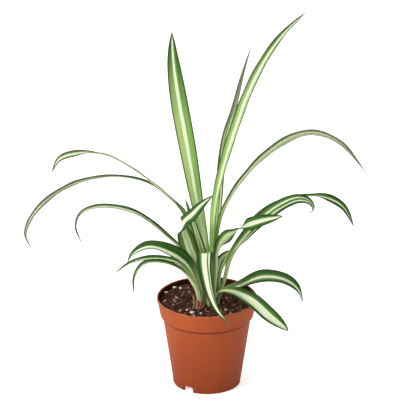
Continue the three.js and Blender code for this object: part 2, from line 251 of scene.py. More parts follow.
def rounded(profile):
    """Each [radius, height, corner] point becomes an arc-like bend of that corner size."""
    points = [np.array(p[:2], float) for p in profile]
    sizes = [p[2] if len(p) > 2 else 0 for p in profile]
    path = []
    for index, (point, size) in enumerate(zip(points, sizes)):
        if size == 0 or index in (0, len(points) - 1):
            path.append(point)
            continue
        before = points[index - 1] - point
        after = points[index + 1] - point
        start = point + before / np.linalg.norm(before) * min(size, np.linalg.norm(before) / 2)
        end = point + after / np.linalg.norm(after) * min(size, np.linalg.norm(after) / 2)
        for step in range(BEND_STEPS + 1):
            t = step / BEND_STEPS
            path.append((1 - t) ** 2 * start + 2 * t * (1 - t) * point + t * t * end)
    return path


def blob(centre, size, seed, squash):
    """A lumpy closed grain; returns its vertices and triangles."""
    made = bmesh.new()
    bmesh.ops.create_icosphere(made, subdivisions=1, radius=1)
    draw = random.Random(seed)
    shift = Vector([draw.random() * 50 for _ in range(3)])
    turn = Vector([draw.random() for _ in range(3)]).normalized()
    spin = Vector((0, 0, 1)).rotation_difference(turn).to_matrix()
    vertices = []
    for vertex in made.verts:
        coarse = noise.noise(vertex.co * 1.3 + shift)
        lump = 1 + 0.34 * coarse + 0.12 * noise.noise(vertex.co * 3.1 + shift)
        local = Vector(a * b * lump * size for a, b in zip(vertex.co, squash))
        vertices.append(Vector(centre) + spin @ local)
    faces = [[v.index for v in face.verts] for face in made.faces]
    made.free()
    return [tuple(v) for v in vertices], faces


def gather(name, parts):
    """Joins (vertices, faces, tone) parts into one mesh with the tone as an attribute."""
    vertices, faces, tones = [], [], []
    for part_vertices, part_faces, tone in parts:
        start = len(vertices)
        vertices.extend(part_vertices)
        faces.extend([start + corner for corner in face] for face in part_faces)
        tones.extend([tone] * len(part_vertices))
    return mesh_from(name, vertices, faces, {"tone": tones})


# --- pot ---
POT_HEIGHT = 94
RIM_RADIUS = 51
COLLAR_HEIGHT = 19
COLLAR_FOOT_RADIUS = 47.8
BODY_TOP_RADIUS = 45.2
FOOT_RADIUS = 35
WALL = 1.5
POT_SIDES = 180
PAD_RADIUS = 17
CHANNEL_HEIGHT = 6
FOOT_RING_WIDTH = 3
NOTCH_AZIMUTHS = (-123.6, -3.6, 116.4)
NOTCH_WIDTH = 11.6
NOTCH_HEIGHT = 6
NOTCH_CORNER = 1.6
DRAIN_WIDTH = 7
DRAIN_INNER_RADIUS = 24
SHARP_ANGLE = 38
COLLAR_FOOT = POT_HEIGHT - COLLAR_HEIGHT


def pot_profile():
    floor = CHANNEL_HEIGHT + WALL
    ring_inner = FOOT_RADIUS - FOOT_RING_WIDTH
    return rounded([
        (0, 0), (PAD_RADIUS, 0, 0.5), (PAD_RADIUS + 1.5, CHANNEL_HEIGHT, 0.5),
        (ring_inner - 1.5, CHANNEL_HEIGHT, 0.6), (ring_inner, 0, 0.4), (FOOT_RADIUS - 0.3, 0, 0.5),
        (FOOT_RADIUS, 1.2, 0.6), (FOOT_RADIUS + 0.4, 7, 0.5),
        (BODY_TOP_RADIUS, COLLAR_FOOT - 1.4, 0.6), (BODY_TOP_RADIUS + 0.5, COLLAR_FOOT, 0.4),
        (COLLAR_FOOT_RADIUS - 0.1, COLLAR_FOOT, 0.5), (COLLAR_FOOT_RADIUS + 0.2, COLLAR_FOOT + 2, 0.4),
        (RIM_RADIUS - 0.7, POT_HEIGHT - 3.4, 0.5), (RIM_RADIUS, POT_HEIGHT - 2.7, 0.4),
        (RIM_RADIUS, POT_HEIGHT, 0.7), (RIM_RADIUS - WALL, POT_HEIGHT, 0.5),
        (RIM_RADIUS - WALL - 0.3, POT_HEIGHT - 2.5, 0.5),
        (COLLAR_FOOT_RADIUS - WALL, COLLAR_FOOT + 0.8, 0.5),
        (BODY_TOP_RADIUS - WALL, COLLAR_FOOT - 1, 0.5), (FOOT_RADIUS + 0.6 - WALL, floor, 0.8),
        (PAD_RADIUS + 0.4, floor, 0.5), (PAD_RADIUS - 1.2, WALL, 0.5), (0, WALL),
    ])


def prism(outline, start, end, azimuth):
    """An upright outline of [across, height] swept outwards from one radius to another."""
    count = len(outline)
    turn = math.radians(azimuth)
    vertices = []
    for radius in (start, end):
        for across, height in outline:
            x = radius * math.cos(turn) - across * math.sin(turn)
            y = radius * math.sin(turn) + across * math.cos(turn)
            vertices.append((x, y, height))
    faces = [list(range(count))[::-1], list(range(count, 2 * count))]
    for index in range(count):
        after = (index + 1) % count
        faces.append([index, after, count + after, count + index])
    return vertices, faces


def notch_outline():
    half = NOTCH_WIDTH / 2
    outline = [(-half, -1), (half, -1)]
    for sign, first in ((1, 0), (-1, 90)):
        for step in range(6):
            turn = math.radians(first + 18 * step)
            across = sign * (half - NOTCH_CORNER) + NOTCH_CORNER * math.cos(turn)
            outline.append((across, NOTCH_HEIGHT - NOTCH_CORNER + NOTCH_CORNER * math.sin(turn)))
    return outline


def cut(mesh, cutters, name):
    """The mesh with each (vertices, faces) cutter taken out of it."""
    body = bpy.data.objects.new(name, mesh)
    scene.collection.objects.link(body)
    tools = []
    for vertices, faces in cutters:
        tool = bpy.data.objects.new("cutter", mesh_from("cutter", vertices, faces))
        scene.collection.objects.link(tool)
        modifier = body.modifiers.new("cut", "BOOLEAN")
        modifier.operation = "DIFFERENCE"
        modifier.object = tool
        tools.append(tool)
    depsgraph = bpy.context.evaluated_depsgraph_get()
    made = bpy.data.meshes.new_from_object(body.evaluated_get(depsgraph))
    for thing in [body, *tools]:
        bpy.data.objects.remove(thing)
    made.name = name
    return made


def pot_material():
    g = Graph("terracotta_plastic")
    place = g.place()
    x, y, z = g.split(place)
    height = g.times(z, 1 / MM)
    radius = g.times(g.math("SQRT", g.plus(g.times(x, x), g.times(y, y))), 1 / MM)
    cloud = g.noise(place, 22, 3)
    speckle = g.noise(place, 900, 2)
    colour = g.tints(g.step(cloud, 0.35, 0.7), "9C461F", "A44D24")
    colour = g.lay(colour, g.step(speckle, 0.55, 0.8), 0.2, "B1532A")
    streak = g.noise(g.vector(g.times(x, 90), g.times(y, 90), g.times(z, 12)), 1, 3)
    colour = g.lay(colour, g.step(streak, 0.5, 0.75), 0.22, "8F3A18")
    # The lip gets a painted highlight, broken into patches; painted shade, with a little dust, darkens the
    # crease under the collar.
    lip = g.step(height, POT_HEIGHT - 0.9, POT_HEIGHT - 0.3)
    lip_highlight = g.times(lip, g.step(g.noise(place, 160, 3), 0.3, 0.6))
    colour = g.lay(colour, lip_highlight, 0.6, "D08A66")
    # Painted shade under the collar's edge, with a little dust.
    below = g.step(height, COLLAR_FOOT - 4.2, COLLAR_FOOT - 1.3)
    crease_shade = g.times(below, g.step(height, COLLAR_FOOT + 0.3, COLLAR_FOOT - 0.1))
    colour = g.lay(colour, crease_shade, 0.75, "521400")
    # Inside, from the middle of its sloping wall down to the soil, the collar is painted dark in patches,
    # as shade in the recess and as grime.
    slope = (RIM_RADIUS - COLLAR_FOOT_RADIUS) / COLLAR_HEIGHT
    middle = g.line(height, slope, COLLAR_FOOT_RADIUS - WALL / 2 - slope * COLLAR_FOOT)
    inside = g.step(g.minus(middle, radius), 0.1, 0.5)
    inside = g.times(inside, g.step(height, POT_HEIGHT - 0.2, POT_HEIGHT - 1.5))
    inside = g.times(inside, g.step(height, COLLAR_FOOT + 1, COLLAR_FOOT + 3))
    grime_and_shade = g.step(g.noise(place, 210, 4), 0.25, 0.62)
    colour = g.mix(g.times(inside, g.line(grime_and_shade, 0.22, 0.74)), colour, tint("2C1510"))
    # The foot is scuffed, and painted shade darkens the body a little all the way down towards the floor.
    foot = g.times(g.step(height, 14, 1), g.step(g.noise(place, 120, 3), 0.35, 0.7))
    colour = g.lay(colour, foot, 0.4, "7A2F14")
    # Painted shade: darker towards the bottom.
    colour = g.lay(colour, g.step(height, COLLAR_FOOT, 0), 0.52, "742B10")
    grain = g.plus(g.noise(place, 1500, 2), g.times(g.noise(place, 70, 2), 0.7))
    g.bump(grain, 0.00004, 0.5)
    return g.finish(Base_Color=colour, Roughness=g.line(cloud, 0.14, 0.55), Specular_IOR_Level=0.14)


def add_pot():
    vertices, faces = revolve(pot_profile(), POT_SIDES)
    cutters = []
    for azimuth in NOTCH_AZIMUTHS:
        cutters.append(prism(notch_outline(), FOOT_RADIUS - 5, FOOT_RADIUS + 4, azimuth))
        half = DRAIN_WIDTH / 2
        low, high = CHANNEL_HEIGHT - 1.25, CHANNEL_HEIGHT + WALL + 1.25
        slot = [(-half, low), (half, low), (half, high), (-half, high)]
        cutters.append(prism(slot, DRAIN_INNER_RADIUS, FOOT_RADIUS - 4.5, azimuth))
    mesh = cut(mesh_from("pot_shell", vertices, faces), cutters, "pot_shell")
    mesh.shade_smooth()
    mesh.set_sharp_from_angle(angle=math.radians(SHARP_ANGLE))
    add_piece("pot_shell", mesh, pot_material(), "pot_plastic", "pot")


# --- soil ---
SOIL_LEVEL = 87
SOIL_TILT = 0.04
SOIL_EDGE_DROP = 3
CROWN = (2, -1)
CROWN_SIDES = 96
CROWN_RIBS = 11
STUMP = {"x": -8.5, "y": -16.5, "radius": 5.4, "bottom": 78, "lean": 9}
# The rings of sheaths round the stub: how many, their share of its radius, and their top.
SHEATH_RINGS = ((3, 0.5, 95), (5, 0.78, 94.4), (7, 1.0, 93), (9, 1.17, 91.5))
SHEATH_ROWS = 14
SHEATH_COLUMNS = 6
SHEATH_THICKNESS = 0.45
SOIL_GAP = 0.3
SOIL_RINGS = 62
SOIL_SIDES = 200
PLAIN_TONE = (0.4, 0.2, 0.2)
CRUMB_COUNT = 1400
CRUMB_REACH = 46
CRUMB_CLEARANCE = 9
# The larger pale grains as [x, y, radius, turn], where they lie on the soil.
PALE_GRAINS = [
    (-33, 32, 2.0, 0), (-27, 31, 2.0, -55), (-19, 32, 0.9, 0), (-18, 24, 1.5, 30), (-24, 22, 0.9, 40),
    (-26, 17, 1.2, 60), (-19, 17, 0.9, 0), (-42, 19, 1.9, 0), (-31, 8, 1.6, 0), (-32, -2, 1.1, 30),
    (-29, -8, 1.4, 40), (-34, -9, 1.0, 0), (-44, -3, 0.9, 0), (-20, -20, 1.6, 80), (-27, -22, 1.9, 60),
    (-15, -28, 2.6, 10), (-13, -33, 1.2, 0), (-6, -28, 2.3, 65), (20, -20, 2.0, 20), (24, -26, 1.2, 0),
    (26, -19, 0.9, 0), (20, 13, 1.1, 0), (17, -1, 1.0, 0), (31, -3, 0.9, 0), (12, -33, 1.3, 15),
    (31, 22, 1.2, 40), (8, 36, 1.3, 70), (24, 30, 1.0, 0), (-9, 40, 1.1, 20),
]
PALE_COUNT = 46
PALE_NEAR, PALE_FAR = 15, 45.5


def soil_lift(x, y):
    """The soil's height over its level at a place, in millimetres."""
    broad = math.sin(0.21 * x + 0.6) * math.cos(0.17 * y - 0.4)
    clump = noise.noise(Vector((x * 0.33, y * 0.33, 2.0)))
    crumb = noise.noise(Vector((x * 1.1, y * 1.1, 7.0)))
    near_crown = math.exp(-((math.hypot(x - CROWN[0], y - CROWN[1]) / 15) ** 2))
    return 0.7 * broad + 1.1 * clump + 0.6 * crumb + 1.6 * near_crown - SOIL_TILT * x


def chip(centre, size, seed, turn):
    """An angular, longish grain that lies with its length along a direction on the soil."""
    draw = random.Random(seed)
    made = bmesh.new()
    for _ in range(16):
        point = Vector([draw.gauss(0, 1) for _ in range(3)]).normalized() * draw.uniform(0.75, 1.05)
        made.verts.new((1.35 * size * point.x, 0.9 * size * point.y, 0.75 * size * point.z))
    bmesh.ops.convex_hull(made, input=made.verts)
    bmesh.ops.delete(made, geom=[v for v in made.verts if not v.link_faces], context="VERTS")
    bmesh.ops.recalc_face_normals(made, faces=made.faces)
    made.verts.index_update()
    vertices = []
    for vertex in made.verts:
        x, y, z = vertex.co
        vertices.append((
            centre[0] + x * math.cos(turn) - y * math.sin(turn),
            centre[1] + x * math.sin(turn) + y * math.cos(turn),
            centre[2] + z,
        ))
    faces = [[v.index for v in face.verts] for face in made.faces]
    made.free()
    return vertices, faces


def soil_inner_radius(height):
    if height > COLLAR_FOOT:
        share = (height - COLLAR_FOOT) / COLLAR_HEIGHT
        return COLLAR_FOOT_RADIUS + share * (RIM_RADIUS - COLLAR_FOOT_RADIUS) - WALL - SOIL_GAP
    return FOOT_RADIUS + height / COLLAR_FOOT * (BODY_TOP_RADIUS - FOOT_RADIUS) - WALL - SOIL_GAP


def soil_material():
    g = Graph("potting_mix")
    place = g.place()
    grade, glint, life = g.attribute("tone")
    clump = g.noise(place, 230, 4, 0.65)
    fibre = g.noise(place, 800, 3, 0.6)
    colour = g.tints(g.step(clump, 0.3, 0.7), "2A1B13", "673F30")
    colour = g.lay(colour, g.step(fibre, 0.5, 0.72), 0.55, "7C5443")
    # Some crumbs are black, some reddish bark, some pale, and a few are mossy.
    colour = g.lay(colour, g.step(grade, 0.3, 0.1), 0.7, "150C09")
    colour = g.lay(colour, g.step(grade, 0.68, 0.9), 0.75, "6F332B")
    colour = g.lay(colour, g.step(glint, 0.84, 0.97), 0.65, "94745C")
    colour = g.lay(colour, g.step(life, 0.94, 1.0), 0.7, "566A3C")
    g.bump(g.plus(clump, g.times(fibre, 0.5)), 0.0006, 0.8)
    return g.finish(Base_Color=colour, Roughness=0.93, Specular_IOR_Level=0.2)


def pale_grain_material():
    g = Graph("pale_grains")
    place = g.place()
    warmth = g.attribute("tone")[0]
    pits = g.noise(place, 1300, 3)
    colour = g.tints(warmth, "F6EDDF", "E2C3B0")
    colour = g.mix(g.step(pits, 0.6, 0.78), colour, tint("A58670"))
    g.bump(pits, 0.0003, 0.7)
    return g.finish(Base_Color=colour, Roughness=0.85)


def add_soil():
    floor = CHANNEL_HEIGHT + WALL + SOIL_GAP
    rim = SOIL_LEVEL - SOIL_EDGE_DROP
    under = [(0, WALL + SOIL_GAP), (PAD_RADIUS - 1.6, WALL + SOIL_GAP), (PAD_RADIUS, floor)]
    for height in (floor, COLLAR_FOOT - 2, COLLAR_FOOT + 1, rim):
        under.append((soil_inner_radius(height), height))
    edge = soil_inner_radius(rim) - 0.3
    top = [(edge * (1 - ring / SOIL_RINGS), SOIL_LEVEL) for ring in range(SOIL_RINGS + 1)]
    vertices, faces = revolve(under + top, SOIL_SIDES)
    vertices = [(x, y, z + soil_lift(x, y)) if z == SOIL_LEVEL else (x, y, z) for x, y, z in vertices]
    tones = [PLAIN_TONE] * len(vertices)
    mesh = mesh_from("soil_bed", vertices, faces, {"tone": tones})
    material = soil_material()
    add_piece("soil_bed", mesh, material, "potting_soil", "soil")

    draw = random.Random(5)
    crumbs = []
    while len(crumbs) < CRUMB_COUNT:
        turn = draw.uniform(0, 2 * math.pi)
        radius = CRUMB_REACH * math.sqrt(draw.random())
        size = 0.5 + 1.6 * draw.random() ** 2.4
        x, y = radius * math.cos(turn), radius * math.sin(turn)
        squash = (1, draw.uniform(0.6, 1), draw.uniform(0.35, 0.9))
        tone = (draw.random(), draw.random(), draw.random())
        if radius + size > CRUMB_REACH + 0.6 or math.hypot(x - CROWN[0], y - CROWN[1]) < CRUMB_CLEARANCE:
            continue
        height = SOIL_LEVEL + soil_lift(x, y) + 0.25 * size
        crumbs.append((*blob((x, y, height), size, len(crumbs), squash), tone))
    add_piece("soil_crumbs", gather("soil_crumbs", crumbs), material, "potting_soil")

    grains = []
    spots = list(PALE_GRAINS)
    while len(spots) < len(PALE_GRAINS) + PALE_COUNT:
        turn = draw.uniform(0, 2 * math.pi)
        radius = PALE_NEAR + (PALE_FAR - PALE_NEAR) * draw.random() ** 0.6
        x, y = radius * math.cos(turn), radius * math.sin(turn)
        spots.append((x, y, 0.4 + 0.8 * draw.random() ** 2, draw.uniform(0, 180)))
    for index, (x, y, size, turn) in enumerate(spots):
        centre = (x, y, SOIL_LEVEL + soil_lift(x, y) + 0.5 * size)
        tone = (draw.random(), 0, 0)
        grains.append((*chip(centre, size, 900 + index, math.radians(turn)), tone))
    add_piece("pale_grains", gather("pale_grains", grains), pale_grain_material(), "potting_soil")


# --- crown and the dry leaf base ---
def crown_material():
    g = Graph("crown_tissue")
    place = g.place()
    fibre = g.noise(place, 420, 4)
    colour = g.tints(g.step(fibre, 0.35, 0.65), "8C9A5A", "C9CC9C")
    g.bump(fibre, 0.0004, 0.6)
    return g.finish(Base_Color=colour, Roughness=0.7)


def add_crown():
    low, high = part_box("crown")
    radius = (high[0] - low[0]) / 2 / MM
    bottom, top = low[2] / MM, high[2] / MM
    profile = rounded([
        (0, bottom), (radius * 0.55, bottom, 1), (radius * 0.85, bottom + 4, 2),
        (radius, top - 4, 2), (radius - 0.3, top, 0.7), (0, top),
    ])
    vertices, faces = revolve(profile, CROWN_SIDES)
    shaped = []
    for x, y, z in vertices:
        turn = math.atan2(y, x)
        rib = 1 - 0.025 * (1 + math.cos(CROWN_RIBS * turn))
        shaped.append((x * rib + CROWN[0], y * rib + CROWN[1], z))
    add_piece("crown_root", mesh_from("crown_root", shaped, faces), crown_material(), "rootstock", "crown")


def stump_material():
    g = Graph("dry_sheaths")
    place = g.place()
    x, y, z = g.split(place)
    lengthwise = g.vector(g.times(x, 1500), g.times(y, 1500), g.times(z, 160))
    fibre = g.noise(lengthwise, 1, 3, 0.6)
    patch = g.noise(place, 240, 3)
    thread = g.step(fibre, 0.3, 0.7)
    red = g.tints(thread, "8C4A3C", "D69A7E")
    grey = g.tints(thread, "7C5C50", "BBA392")
    colour = g.mix(g.step(z, 0.0905, 0.0875), red, grey)
    colour = g.lay(colour, g.step(patch, 0.55, 0.75), 0.6, "DDB896")
    g.bump(fibre, 0.0005, 0.8)
    return g.finish(Base_Color=colour, Roughness=0.85, Specular_IOR_Level=0.25)


def sheath_points(turn, radius, top, wide, spread, index):
    """The outer and the inner grid of one sheath, which narrows and flares towards its top."""
    tilt = math.tan(math.radians(STUMP["lean"]))
    vertices = []
    for face in (0, 1):
        for row in range(SHEATH_ROWS + 1):
            up = row / SHEATH_ROWS
            height = STUMP["bottom"] + (top - STUMP["bottom"]) * up
            narrow = 1 - 0.85 * max(0, (up - 0.62) / 0.38) ** 1.5
            swell = radius * (0.9 + 0.12 * math.sin(math.pi * up)) - SHEATH_THICKNESS * face
            flare = 0.5 * max(0, up - 0.8) * spread
            for column in range(SHEATH_COLUMNS + 1):
                side = column / SHEATH_COLUMNS * 2 - 1
                angle = turn + side * wide * narrow / radius
                ruffle = 0.2 * math.sin(9 * up + 4 * side + index)
                r = swell + flare + ruffle
                x = STUMP["x"] + r * math.cos(angle)
                y = STUMP["y"] + 0.72 * r * math.sin(angle) + tilt * (height - STUMP["bottom"])
                vertices.append((x, y, height))
    return vertices


def add_dry_base():
    """Overlapping withered sheaths that stand round the stub of an old leaf."""
    parts = []
    draw = random.Random(21)
    faces = slab_faces(SHEATH_ROWS, SHEATH_COLUMNS)
    for ring, (count, share, top) in enumerate(SHEATH_RINGS):
        radius = STUMP["radius"] * share
        for index in range(count):
            turn = 2 * math.pi * (index + 0.4 * ring) / count
            torn = top - 2.2 * draw.random() + 0.8
            wide = 1.25 * math.pi * radius / count
            parts.append((sheath_points(turn, radius, torn, wide, 1 + ring, index), faces, (0, 0, 0)))
    add_piece("dry_sheaths", gather("dry_sheaths", parts), stump_material(), "dry_leaf", "dry_leaf_base")


def strand_material():
    g = Graph("dry_strands")
    place = g.place()
    fibre = g.noise(place, 700, 3, 0.6)
    colour = g.tints(g.step(fibre, 0.35, 0.65), "94654A", "DDB88E")
    g.bump(fibre, 0.0003, 0.7)
    return g.finish(Base_Color=colour, Roughness=0.85, Specular_IOR_Level=0.2)


# Withered strands on the soil: start and end in plan, height of the arch, half width.
STRANDS = [
    ((-17, 17), (-10, -4), 3.2, 0.75),
    ((-15, 6), (-12, -9), 2.2, 0.5),
    ((-3, -16), (1, -24), 1.8, 0.5),
    ((-14, -18), (-19, -22), 1.2, 0.4),
    ((18, 6), (27, 3), 1.6, 0.45),
    ((12, -16), (17, -24), 1.3, 0.4),
]


def add_dry_strands():
    """Narrow lens-shaped strips that arch over the soil and taper to both ends."""
    parts = []
    rows, corners = 16, 6
    for start, end, arch, half in STRANDS:
        start, end = np.array(start, float), np.array(end, float)
        across = np.array([start[1] - end[1], end[0] - start[0]]) / np.linalg.norm(end - start)
        vertices = []
        for row in range(rows + 1):
            along = row / rows
            middle = start + (end - start) * along + across * 1.2 * math.sin(2.2 * math.pi * along)
            height = SOIL_LEVEL + soil_lift(*middle) + 0.3 + arch * math.sin(math.pi * along) ** 1.3
            wide = half * (0.25 + 0.75 * math.sin(math.pi * along) ** 0.6)
            for corner in range(corners):
                turn = 2 * math.pi * corner / corners
                x, y = middle + across * wide * math.cos(turn)
                vertices.append((x, y, height + 0.4 * wide * math.sin(turn)))
        faces = [list(range(corners)), list(range(rows * corners, (rows + 1) * corners))[::-1]]
        for row in range(rows):
            for corner in range(corners):
                after = (corner + 1) % corners
                low, high = row * corners, (row + 1) * corners
                faces.append([low + after, low + corner, high + corner, high + after])
        parts.append((vertices, faces, (0, 0, 0)))
    add_piece("dry_strands", gather("dry_strands", parts), strand_material(), "dry_leaf")


def slab_faces(rows, columns):
    """Faces of a closed slab: an outer grid, an inner grid behind it, and the edge between."""
    across = columns + 1
    layer = (rows + 1) * across
    faces = []
    for row in range(rows):
        for column in range(columns):
            a = row * across + column
            faces.append([a, a + 1, a + across + 1, a + across])
            b = a + layer
            faces.append([b, b + across, b + across + 1, b + 1])
    ring = list(range(across))
    ring += [row * across + columns for row in range(1, rows + 1)]
    ring += [rows * across + column for column in range(columns - 1, -1, -1)]
    ring += [row * across for row in range(rows - 1, 0, -1)]
    for here, after in zip(ring, ring[1:] + ring[:1]):
        faces.append([after, here, here + layer, after + layer])
    return faces


# --- leaves ---
BASE_HEIGHT = 82
STRAIGHT_BASE = 9
BASE_WIDTH_SHARE = 0.38
TIP_WIDTH = 0.9
FOLD_PLACES = (0, 0.15, 0.5, 0.9, 1)
KEEL_ROUNDING = 0.16
EDGE_THICKNESS = 0.3
BODY_THICKNESS = 0.55
RIDGE_THICKNESS = 0.35
HALF_ACROSS = [0.07, 0.18, 0.34, 0.52, 0.7, 0.86, 0.965, 1]
ACROSS = np.array([-place for place in HALF_ACROSS[::-1]] + [0] + HALF_ACROSS)
STATION_STEP = 1.6
RIPPLE_HEIGHT = 0.22
VEIN_SPACING = 0.85
